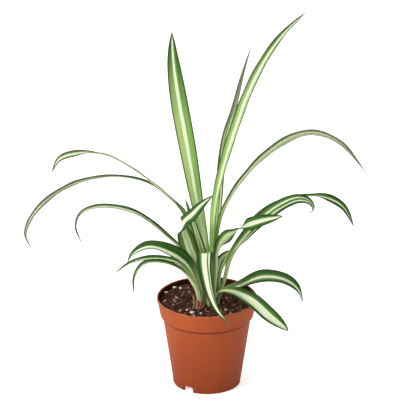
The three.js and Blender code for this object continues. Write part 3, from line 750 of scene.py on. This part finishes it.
# Each leaf grows from "base" [radius, azimuth] round the crown's centre and arches out in the upright plane
# of its azimuth. It is "width" wide at the share "peak" of its length, and the higher its "taper" is, the
# later it narrows. "spine" lists the midrib as [reach, height, sway to the leaf's left], in millimetres.
# "roll" turns the blade about it, evenly spread, and "fold" lifts its halves at FOLD_PLACES, in degrees.
# "stripe" and "second" are pale stripes, as (place, half width) in shares of the half blade. "wash" pales
# the green on the leaf's left, "deep" is how dark the green is, "pale_base" how pale the blade is near its
# foot, partly as painted light against the shade inside the bundle, "lined" how strongly green lines cross
# the first stripe and "dry" how withered the end is and how strong the painted shade along the underside's
# keel is.
PLAIN_LEAF = {"second": (0, 0), "wash": 0, "deep": 1, "dry": 0, "fold": [60, 45, 20, 24, 24]}
LEAVES = [
    dict(name="tall_left", azimuth=125, base=[4.8, 142], width=18.5, peak=0.68, taper=2.4,
         stripe=(0.02, 0.18), wash=0.8, deep=0.25, pale_base=0.8, lined=0.12,
         roll=[15, -30, -30, -30, -35], fold=[60, 38, 15, 18, 20],
         spine=[[7, 136, -1], [13, 152, -3], [26, 186, -4], [41, 240, -3], [56, 291, -2], [64, 331, -1],
                [65, 361, 0]]),
    dict(name="tall_right", azimuth=32, base=[4.5, 5], width=16, peak=0.6, taper=3,
         stripe=(0.2, 0.17), second=(-0.2, 0.07), deep=0.25, pale_base=0.9, lined=0.5,
         roll=[-25, 0, 0, 0, 0],
         spine=[[4, 140, -2], [8, 192, -1], [18, 233, -1], [33, 272, 0], [56, 320, 0], [84, 356, 0],
                [114, 379, 0]]),
    dict(name="narrow_behind", azimuth=55, base=[9, 84], width=10, peak=0.5, taper=1.6,
         stripe=(-0.35, 0.2), second=(0.45, 0.08), deep=0.5, pale_base=0.8, lined=0.6, dry=0.5,
         roll=[30, 0, 0, 0, 0],
         spine=[[16, 134, 3], [23, 185, 3], [29, 228, 4], [36, 257, 4], [45, 282, 1], [59, 316, 0],
                [68, 345, -4]]),
    dict(name="right_arch", azimuth=8, base=[5.4, 76], width=13, peak=0.58, taper=1.8,
         stripe=(-0.1, 0.35), deep=0.45, pale_base=0.9, lined=0.6, dry=0.45,
         roll=[60, -25, -35, -45, -60, -50, -40], fold=[60, 40, 15, 15, 20],
         spine=[[8, 144, 4], [15, 184, 3], [32, 216, 2], [58, 245, 2], [88, 264, 1], [109, 266, 1],
                [134, 254, 0], [160, 222, 0]]),
    dict(name="right_far", azimuth=14, base=[11.6, 22], width=11, peak=0.75, taper=2.2,
         stripe=(-0.05, 0.15), pale_base=1, lined=0.5,
         roll=[10, 10, 5, -5, -15, -10, 45, 55], fold=[60, 40, 15, 12, 20],
         spine=[[14, 119, 2], [36, 159, 1], [60, 185, 1], [91, 194, 1], [119, 192, 1], [140, 180, 0],
                [153, 156, 0]]),
    dict(name="right_curl", azimuth=0, base=[7.8, 2], width=15.5, peak=0.56, taper=2,
         stripe=(0.28, 0.1), second=(-0.38, 0.13), deep=0.7, pale_base=0.8, lined=0.3,
         roll=[0, 0, 10, 35, 50, 45, 35], fold=[65, 60, 30, 8, 12],
         spine=[[16, 108, 0], [25, 140, 0], [40, 162, 0], [66, 190, 0], [90, 202, 0], [101, 199, 0],
                [105, 192, 0], [102, 187, 0], [99, 186, 0]]),
    dict(name="right_twist", azimuth=-12, base=[7.6, -41], width=15, peak=0.72, taper=2,
         stripe=(-0.02, 0.3), pale_base=0.7, lined=0.4,
         roll=[-30, 0, -5, -5, -20, -80, -20, 50, 60, 60], fold=[60, 30, 15, 15, 20],
         spine=[[9, 124, -4], [11, 149, -4], [17, 161, -3], [28, 170, -2], [51, 182, -1], [76, 190, 0]]),
    dict(name="right_back", azimuth=30, base=[8.2, 50], width=11, peak=0.6, taper=1.9,
         stripe=(-0.1, 0.25), deep=0.9, pale_base=0.7, lined=0.7,
         roll=[20, -80, -95, -65], fold=[60, 30, 15, 10, 20],
         spine=[[12, 118, 4], [16, 131, 3], [24, 137, 2], [30, 133, 3]]),
    dict(name="flag_left", azimuth=-135, base=[7.5, -134], width=17, peak=0.5, taper=2,
         stripe=(0.06, 0.28), pale_base=0.4, lined=0.3,
         roll=[0, 42, 52, 55, 55, 57, 62, 88, 170, 212, 220, 220], fold=[60, 30, 5, 10, 15],
         spine=[[14, 128, -1], [21, 150, -6], [24, 162, -8], [28, 173, -8], [31, 184, -4], [27, 193, 3],
                [21, 203, 9], [12, 215, 18]]),
    dict(name="inner_spike", azimuth=160, base=[2.4, -122], width=9, peak=0.45, taper=1.7,
         stripe=(0.3, 0.12), second=(-0.35, 0.06), wash=1, deep=0.05, pale_base=1, lined=0.3,
         roll=[60, -60, -60], fold=[60, 35, 12, 15, 15],
         spine=[[5, 138, 3], [10, 167, 9], [17, 192, 12], [20, 206, 15]]),
    dict(name="left_high", azimuth=172, base=[7.8, 177], width=11.5, peak=0.84, taper=2,
         stripe=(0.1, 0.33), pale_base=0.6, lined=0.5, dry=0.2,
         roll=[5, -15, -5, 10, 20, 25, 25, 25, -20, -45], fold=[60, 40, 14, 8, 10],
         spine=[[15, 156, 1], [33, 194, 1], [66, 223, 1], [98, 242, 1], [114, 246, 2], [131, 245, 2],
                [151, 238, 2], [160, 223, 2]]),
    dict(name="left_long", azimuth=172, base=[7.8, 114], width=10, peak=0.7, taper=2,
         stripe=(0, 0.22), pale_base=0.6, lined=0.7, dry=0.4,
         roll=[-60, -10, -5, 15, 15, -10, -35, -60], fold=[60, 40, 20, 12, 15],
         spine=[[18, 153, -7], [26, 182, -7], [40, 196, -7], [57, 211, -5], [74, 218, -3], [103, 220, -1],
                [144, 207, 1], [177, 179, 2], [188, 154, 4], [181, 138, 6]]),
    dict(name="left_mid", azimuth=182, base=[11.6, 160], width=12, peak=0.6, taper=1.9,
         stripe=(-0.1, 0.25), pale_base=0.8, lined=0.6, dry=0.35,
         roll=[-20, 0, 0, 0, 0],
         spine=[[19, 132, -4], [41, 159, -3], [73, 186, -1], [106, 194, -1], [128, 188, -1],
                [134, 175, 0], [128, 154, 0]]),
    dict(name="left_wide", azimuth=-158, base=[11.8, -139], width=15.5, peak=0.5, taper=1.9,
         stripe=(0.5, 0.34), pale_base=0.9, lined=0.2,
         roll=[20, -50, -50, -45, -25, -10], fold=[60, 35, 15, 12, 20],
         spine=[[16, 115, 8], [28, 141, 8], [47, 156, 4], [67, 162, 1], [82, 155, -1], [88, 146, -1]]),
    dict(name="left_low_back", azimuth=165, base=[11.6, 136], width=13, peak=0.6, taper=1.8,
         stripe=(0.1, 0.35), pale_base=0.9, lined=0.8,
         roll=[-30, 0, 0, 0, 0],
         spine=[[19, 110, -4], [34, 127, -1], [59, 129, 0], [81, 123, 0], [100, 109, 0]]),
    dict(name="left_low_front", azimuth=-166, base=[11.6, -176], width=10, peak=0.55, taper=1.8,
         stripe=(0.2, 0.3), pale_base=0.9, lined=0.6, dry=0.1,
         roll=[-10, 0, 0, 0, 0],
         spine=[[15, 105, -2], [30, 127, -2], [49, 137, -1], [67, 137, -1], [77, 125, 0], [78, 103, 0]]),
    dict(name="front_fall", azimuth=-84, base=[9.5, -89], width=19, peak=0.36, taper=1.05,
         stripe=(-0.04, 0.37), second=(0.64, 0.08), pale_base=0.1, lined=0.6,
         roll=[-5, 0, 0, 0, 0], fold=[60, 30, 10, 12, 20],
         spine=[[21, 133, -5], [34, 157, -8], [45, 147, -9], [54, 120, -4], [57, 104, 3], [59, 89, 15]]),
    dict(name="right_wide", azimuth=-36, base=[11.6, -62], width=17.5, peak=0.62, taper=3.2,
         stripe=(-0.08, 0.36), second=(-0.56, 0.07), pale_base=0.3, lined=0.3,
         roll=[-25, 10, 20, 20, 15], fold=[60, 25, 8, 8, 12],
         spine=[[14, 103, -3], [28, 108, -1], [52, 105, 0], [76, 93, 0], [98, 82, 1]]),
    dict(name="right_mid", azimuth=-4, base=[11.6, -28], width=17.2, peak=0.58, taper=2.2,
         stripe=(-0.13, 0.26), pale_base=0.3, lined=0.1,
         roll=[-25, 15, 25, 20, 15], fold=[60, 25, 8, 8, 12],
         spine=[[14, 101, -5], [32, 110, -5], [54, 120, -4], [77, 117, -2], [90, 107, -1], [96, 91, 0]]),
]


def midrib(leaf, places):
    """Points, tangents and the length of the leaf's midrib at even shares of its length."""
    turn = math.radians(leaf["azimuth"])
    outward = np.array([math.cos(turn), math.sin(turn), 0])
    leftward = np.array([-math.sin(turn), math.cos(turn), 0])
    radius, azimuth = leaf["base"]
    swing = math.radians(azimuth - leaf["azimuth"])
    reach, sway = radius * math.cos(swing), radius * math.sin(swing)
    marks = [[reach, BASE_HEIGHT, sway], [reach + 0.5, BASE_HEIGHT + STRAIGHT_BASE, sway], *leaf["spine"]]
    points = np.array([
        [CROWN[0], CROWN[1], height] + out * outward + left * leftward for out, height, left in marks
    ])
    padded = np.vstack([2 * points[0] - points[1], points, 2 * points[-1] - points[-2]])
    gaps = np.sqrt(np.linalg.norm(np.diff(padded, axis=0), axis=1))
    fine = np.linspace(0, 1, 60, endpoint=False)[:, None]
    run = []
    for index in range(1, len(padded) - 2):
        a, b, c, d = padded[index - 1 : index + 3]
        before, span, after = gaps[index - 1 : index + 2]
        start = ((b - a) / before - (c - a) / (before + span) + (c - b) / span) * span
        end = ((c - b) / span - (d - b) / (span + after) + (d - c) / after) * span
        square = 3 * (c - b) - 2 * start - end
        cube = 2 * (b - c) + start + end
        run.append(b + start * fine + square * fine**2 + cube * fine**3)
    run = np.vstack([*run, points[-1:]])
    length = np.concatenate([[0], np.cumsum(np.linalg.norm(np.diff(run, axis=0), axis=1))])
    centre = np.column_stack([np.interp(places * length[-1], length, run[:, k]) for k in range(3)])
    along = np.gradient(centre, axis=0)
    along /= np.linalg.norm(along, axis=1)[:, None]
    return centre, along, leftward, length[-1]


def eased(values, places):
    place = np.minimum(places, 0.9999) * (len(values) - 1)
    index = place.astype(int)
    part = place - index
    part = part * part * (3 - 2 * part)
    values = np.array(values, float)
    return values[index] * (1 - part) + values[index + 1] * part


def blade_width(leaf, places):
    share = np.clip(places / leaf["peak"], 0, 1)
    rising = BASE_WIDTH_SHARE + (1 - BASE_WIDTH_SHARE) * share * share * (3 - 2 * share)
    beyond = np.clip((places - leaf["peak"]) / (1 - leaf["peak"]), 0, 1)
    falling = (1 - beyond ** leaf["taper"]) ** 0.8
    width = leaf["width"] * np.where(places < leaf["peak"], rising, falling)
    return np.maximum(TIP_WIDTH * (1 - beyond**8) + 0.25, width)


def leaf_attributes(leaf, seed, places, half, length):
    """What the leaf material reads at each vertex of the upper layer and then of the lower one."""
    shape = (len(places), len(ACROSS))
    share = np.broadcast_to(ACROSS, shape).ravel()
    progress = np.broadcast_to(places[:, None], shape).ravel()
    halves = np.broadcast_to(half, shape).ravel()
    count = len(share)
    blade = np.vstack([np.column_stack([share, progress, np.full(count, face)]) for face in (0.0, 1.0)])
    span = np.column_stack([halves, progress * length, np.full(count, float(seed))])
    traits = {
        "main": (*leaf["stripe"], leaf["deep"]),
        "second": (*leaf["second"], leaf["wash"]),
        "tone": (leaf["pale_base"], leaf["lined"], leaf["dry"]),
    }
    attributes = {key: np.tile(values, (2 * count, 1)) for key, values in traits.items()}
    return {"blade": blade, "span": np.vstack([span, span]), **attributes}


def leaf_mesh(leaf, seed):
    """A channelled blade with a rounded keel, thin edges and a ridge under its midrib."""
    rough_length = midrib(leaf, np.linspace(0, 1, 9))[3]
    rows = int(rough_length / STATION_STEP)
    places = np.linspace(0, 1, rows + 1)
    centre, along, leftward, length = midrib(leaf, places)
    flat_side = leftward - along * (along @ leftward)[:, None]
    flat_side /= np.linalg.norm(flat_side, axis=1)[:, None]
    flat_up = np.cross(along, flat_side)
    roll = np.radians(eased(leaf["roll"], places))[:, None]
    side = flat_side * np.cos(roll) + flat_up * np.sin(roll)
    up = flat_up * np.cos(roll) - flat_side * np.sin(roll)
    fold = np.radians(np.interp(places, FOLD_PLACES, leaf["fold"]))[:, None]
    half = (blade_width(leaf, places) / 2)[:, None]

    across = ACROSS[None, :]
    lifted = np.sqrt(across**2 + KEEL_ROUNDING**2)
    bowl = (lifted - KEEL_ROUNDING) / (math.sqrt(1 + KEEL_ROUNDING**2) - KEEL_ROUNDING)
    draw = random.Random(seed)
    phase, pace = draw.uniform(0, 6), draw.uniform(26, 38)
    travel = places[:, None] * length
    calm = np.clip((places[:, None] - 0.25) / 0.25, 0, 1)
    wave = np.sin(travel / pace * 2 * math.pi + phase + 1.3 * np.sign(across))
    ripple = RIPPLE_HEIGHT * calm * wave * across**2
    out = half * np.cos(fold) * across
    rise = half * np.sin(fold) * bowl + ripple * np.minimum(1, half / 6)
    slope_side = -np.sin(fold) * across / lifted
    slope_up = np.cos(fold) + 0 * across
    thick = EDGE_THICKNESS + (BODY_THICKNESS - EDGE_THICKNESS) * (1 - across**4)
    thick = thick * np.clip(half / 2.5, 0.35, 1)
    ridge = RIDGE_THICKNESS * np.exp(-((across * half / 0.7) ** 2)) * np.clip(half / 3, 0, 1)

    layers = []
    for face in (1, -1):
        extra = thick / 2 + (ridge if face < 0 else 0)
        offset_side = (out + face * extra * slope_side)[:, :, None]
        offset_up = (rise + face * extra * slope_up)[:, :, None]
        layer = centre[:, None, :] + side[:, None, :] * offset_side + up[:, None, :] * offset_up
        layers.append(layer.reshape(-1, 3))
    faces = [face[::-1] for face in slab_faces(rows, len(ACROSS) - 1)]
    attributes = leaf_attributes(leaf, seed, places, half, length)
    return mesh_from(leaf["name"], np.vstack(layers), faces, attributes)


class LeafGraph(Graph):
    """A leaf's graph, with the traits and lengthwise noises that both sides read."""

    def __init__(self):
        super().__init__("variegated_leaf")
        self.share, self.progress, self.under = self.attribute("blade")
        self.half, self.travel, self.seed = self.attribute("span")
        self.main_place, self.main_half, self.deep = self.attribute("main")
        self.second_place, self.second_half, self.wash = self.attribute("second")
        self.pale_base, self.lined, self.dry = self.attribute("tone")
        self.across = self.times(self.share, self.half)
        self.slow = self.lengthwise(0.22, 0.03, 0)
        self.fine = self.lengthwise(0.75, 0.008, 9)
        self.hair = self.lengthwise(3.2, 0.04, 17)
        self.bold = self.lengthwise(0.42, 0.004, 31, 0)
        self.toward_tip = self.step(self.progress, 0.55, 1.0)
        self.toward_base = self.times(self.step(self.progress, 0.46, 0.16), self.pale_base)
        centred_fine = self.times(self.minus(self.fine, 0.5), 0.14)
        self.wobble = self.line(self.minus(self.slow, 0.5), 0.14, centred_fine)
        self.outside = self.beyond(self.main_place, self.main_half)
        self.rim = self.dark_rim()

    def lengthwise(self, scale, drift, shift, detail=1):
        """Noise drawn out along the blade: scale is per millimetre across it."""
        across = self.times(self.across, scale)
        along = self.times(self.travel, drift)
        return self.noise(self.vector(across, along, self.plus(self.seed, shift)), 1, detail)

    def beyond(self, place, reach):
        """How far outside a stripe a point lies, in shares of the half blade; negative inside it."""
        return self.minus(self.plus(self.apart(self.share, place), self.wobble), reach)

    def dark_rim(self):
        """1 in the last millimetre before the edges; wider where dry, narrower near the foot."""
        margin = self.minus(self.half, self.math("ABSOLUTE", self.across))
        withered = self.times(self.dry, 2.0)
        bare = self.line(self.toward_base, self.plus(withered, 1.6), self.times(withered, -1.0))
        return self.step(self.plus(margin, bare), 1.9, 0.9)


def pale_stripes(g):
    """1 in the two pale stripes, less where green lines cross the first one."""
    centre = g.step(g.outside, 0.05, -0.03)
    drawn = g.step(g.second_half, 0, 0.05)
    second = g.times(g.step(g.beyond(g.second_place, g.second_half), 0.04, -0.04), drawn)
    thin = g.times(g.step(g.fine, 0.55, 0.63), 0.3)
    strong = g.times(g.step(g.apart(g.bold, 0.5), 0.075, 0.02), g.lined)
    pale = g.times(centre, g.minus(1.0, g.math("MAXIMUM", thin, strong)))
    pale = g.math("MAXIMUM", pale, g.times(second, 0.9))
    return g.times(pale, g.line(g.toward_base, -0.6, 1.0))


def upper_side(g):
    """Green sides, darkest at the edges and towards the tip, with the cream stripes between them."""
    depth = g.math("MULTIPLY_ADD", g.toward_tip, 0.75, g.deep, clamp=True)
    depth = g.times(depth, g.line(g.toward_base, -0.7, 1.0))
    green = g.mix(depth, g.tints(g.hair, "7CA346", "9BC168"), g.tints(g.hair, "1C4510", "386A22"))
    airy = g.line(depth, -0.8, 1.0)
    green = g.lay(green, g.step(g.fine, 0.44, 0.36), g.times(airy, 0.45), "A9CC78")
    green = g.lay(green, g.step(g.outside, 0.36, 0.02), g.line(airy, 0.35, 0.25), "A4CB74")
    washed = g.times(g.step(g.times(g.share, g.wash), 0.0, 0.3), g.step(g.progress, 0.26, 0.4))
    washed = g.times(washed, g.line(g.toward_tip, -0.95, 0.95))
    green = g.mix(washed, green, g.tints(g.hair, "B0CC78", "C6DC96"))
    cream = g.tints(g.step(g.hair, 0.42, 0.66), "F8FFE0", "E4F3C4")
    cream = g.lay(cream, g.toward_base, 0.6, "D2E8A2")
    upper = g.mix(pale_stripes(g), green, cream)
    return g.mix(g.times(g.rim, 0.8), upper, g.tints(g.toward_base, "1E3610", "4E7F26"))


def underside(g):
    """Duller and yellower than the upper side, with edges that show as dark lines."""
    light_green = g.tints(g.hair, "839F56", "A3BA78")
    green = g.mix(g.deep, light_green, g.tints(g.hair, "3E5C1C", "648739"))
    cream = g.tints(g.hair, "DEECBA", "C3D69C")
    lower = g.mix(g.times(g.step(g.outside, 0.24, 0.0), 0.9), green, cream)
    lower = g.lay(lower, g.step(g.fine, 0.52, 0.6), 0.28, "5F7A36")
    # Painted shade along the underside's keel, where the other half shades it, standing also for a darker
    # midrib line; the dry trait sets its strength.
    keel_shade = g.step(g.math("ABSOLUTE", g.across), 1.2, 0.5)
    lower = g.lay(lower, keel_shade, g.times(g.dry, 1.6), "6C7C4A")
    return g.mix(g.times(g.rim, 0.9), lower, g.tints(g.toward_base, "203408", "5C8034"))


def leaf_material():
    g = LeafGraph()
    colour = g.mix(g.step(g.under, 0.4, 0.6), upper_side(g), underside(g))
    # Both sides of the lower blade are pale and yellowish, with green grooves; part of the paleness is
    # painted light that offsets the shade inside the bundle.
    streaks = g.tints(g.step(g.bold, 0.45, 0.51), "B4D876", "FBFFDC")
    colour = g.mix(g.times(g.toward_base, 0.86), colour, streaks)
    narrow = g.step(g.apart(g.bold, 0.46), 0.03, 0.012)
    groove = g.times(g.math("MAXIMUM", narrow, g.times(g.rim, 0.5)), g.toward_base)
    colour = g.lay(colour, groove, 0.56, "38651A")
    # The foot turns to whitish sheath, painted paler still as light that lifts the shade inside the bundle;
    # some leaves wither towards the tip, and every point is brown.
    colour = g.lay(colour, g.step(g.travel, 34, 8), 0.5, "D3DAA0")
    faded = g.times(g.step(g.progress, 0.4, 0.9), g.dry)
    colour = g.mix(faded, colour, g.tints(g.hair, "5E5A44", "A39F8A"))
    tip = g.step(g.line(g.minus(g.slow, 0.5), 0.03, g.progress), 0.958, 0.985)
    colour = g.lay(colour, tip, 0.75, "75604A")

    veins = g.math("SINE", g.times(g.across, 2 * math.pi / VEIN_SPACING))
    g.bump(g.plus(g.times(veins, 0.35), g.times(g.hair, 0.9)), 0.00012, 0.7)
    return g.finish(
        Base_Color=colour,
        Roughness=g.line(g.hair, 0.16, 0.42),
        Specular_IOR_Level=0.22,
        Subsurface_Weight=0.15,
        Subsurface_Radius=(0.6, 1.0, 0.25),
        Subsurface_Scale=0.0012,
    )


def add_leaves():
    material = leaf_material()
    for seed, leaf in enumerate(LEAVES):
        mesh = leaf_mesh({**PLAIN_LEAF, **leaf}, seed)
        add_piece(leaf["name"] + "_blade", mesh, material, "leaf_blade", leaf["name"])


# --- floor, light and the end ---
def add_floor():
    half = FLOOR_SIDE / 2
    corners = [(-half, -half, 0), (half, -half, 0), (half, half, 0), (-half, half, 0)]
    mesh = bpy.data.meshes.new("floor")
    mesh.from_pydata(corners, [], [[0, 1, 2, 3]])
    g = Graph("floor_white")
    mottle = g.noise(g.place(), 3, 2)
    mesh.materials.append(g.finish(
        Base_Color=g.tints(mottle, "F4F4F4", "F8F8F8"),
        Roughness=0.9,
        Emission_Color=(1, 1, 1, 1),
        Emission_Strength=FLOOR_GLOW,
        Specular_IOR_Level=0.1,
    ))
    floor = bpy.data.objects.new("floor", mesh)
    floor.location.z = -FLOOR_DROP
    scene.collection.objects.link(floor)


def add_world():
    """White studio surroundings, bright on the left and dim on the right."""
    g = Graph("studio", bpy.data.worlds, "Background")
    x = g.split(g.add("TexCoord").outputs["Generated"])[0]
    left, right = STUDIO_GLOW
    glow = g.add(
        "MapRange", Value=x, From_Min=-STUDIO_EDGE, From_Max=STUDIO_EDGE, To_Min=left, To_Max=right,
    )
    scene.world = g.finish(Color=(1, 1, 1, 1), Strength=glow.outputs["Result"])


add_camera()
add_world()
add_lights()
add_floor()
add_pot()
add_soil()
add_crown()
add_dry_base()
add_dry_strands()
add_leaves()
